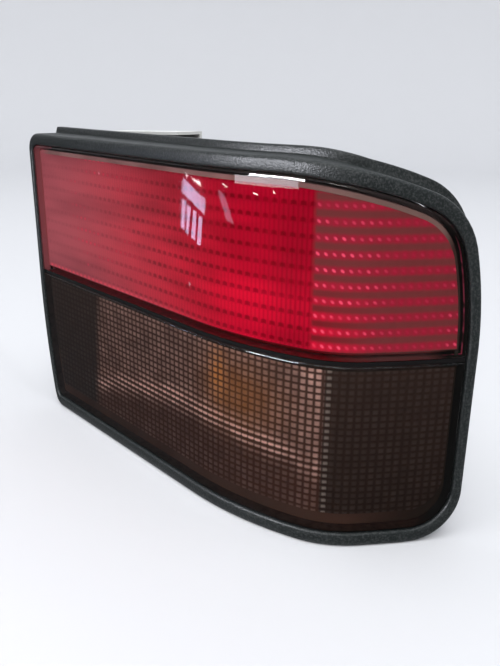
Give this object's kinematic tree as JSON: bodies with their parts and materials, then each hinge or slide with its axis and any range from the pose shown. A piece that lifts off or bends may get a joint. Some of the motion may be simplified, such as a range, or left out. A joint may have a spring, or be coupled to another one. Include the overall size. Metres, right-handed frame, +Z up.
{
  "type": "tail light cluster",
  "caption": "Right-hand wrap-round rear lamp with a red upper lens, a smoked lower lens, black stepped bezel, housing, reflectors, bulbs, carrier, connector and studs.",
  "frame": {"origin": "on the ground below the middle of the lamp, which stands on the bottom edge of its bezel", "axes": "+X along the rear of the car towards its right-hand side, -Y towards a person behind the car, +Z up"},
  "size_m": [0.2792, 0.0922, 0.1856],
  "materials": {
    "housing_plastic": "fine grain, satin",
    "bezel_plastic": "leather grain, satin",
    "red_acrylic": "clear red moulding, polished outside",
    "smoked_acrylic": "smoked brown-grey moulding, polished outside",
    "joint_black": "black, glossy",
    "seal_rubber": "matt",
    "foam_rubber": "closed-cell foam",
    "reflector_coat": "vacuum metallised",
    "clear_glass": "clear",
    "cap_metal": "dull",
    "amber_glass": "amber",
    "carrier_plastic": "natural, satin",
    "contact_brass": "bright",
    "socket_plastic": "satin",
    "zinc_steel": "zinc plated",
    "bracket_steel": "pale grey, satin"
  },
  "bodies": {
    "root": {"housing": "housing_plastic", "bezel": "bezel_plastic", "red_lens": "red_acrylic", "smoked_lens": "smoked_acrylic", "joint_strip": "joint_black", "lens_seal": "seal_rubber", "body_gasket": "foam_rubber", "upper_reflector": "reflector_coat", "lower_reflector": "reflector_coat", "stop_bulb_glass": "clear_glass", "stop_bulb_cap": "cap_metal", "tail_bulb_glass": "clear_glass", "tail_bulb_cap": "cap_metal", "indicator_bulb_glass": "amber_glass", "indicator_bulb_cap": "cap_metal", "stop_holder": "carrier_plastic", "tail_holder": "carrier_plastic", "indicator_holder": "carrier_plastic", "bulb_contacts": "contact_brass", "bulb_carrier": "carrier_plastic", "carrier_seal": "seal_rubber", "feed_strips": "contact_brass", "earth_strip": "contact_brass", "connector_socket": "socket_plastic", "connector_terminals": "contact_brass", "mounting_studs": "zinc_steel", "stud_washers": "zinc_steel", "stud_nuts": "zinc_steel", "breather_cap": "seal_rubber", "fixing_bracket": "bracket_steel", "bracket_rivets": "zinc_steel"}
  },
  "joints": []
}
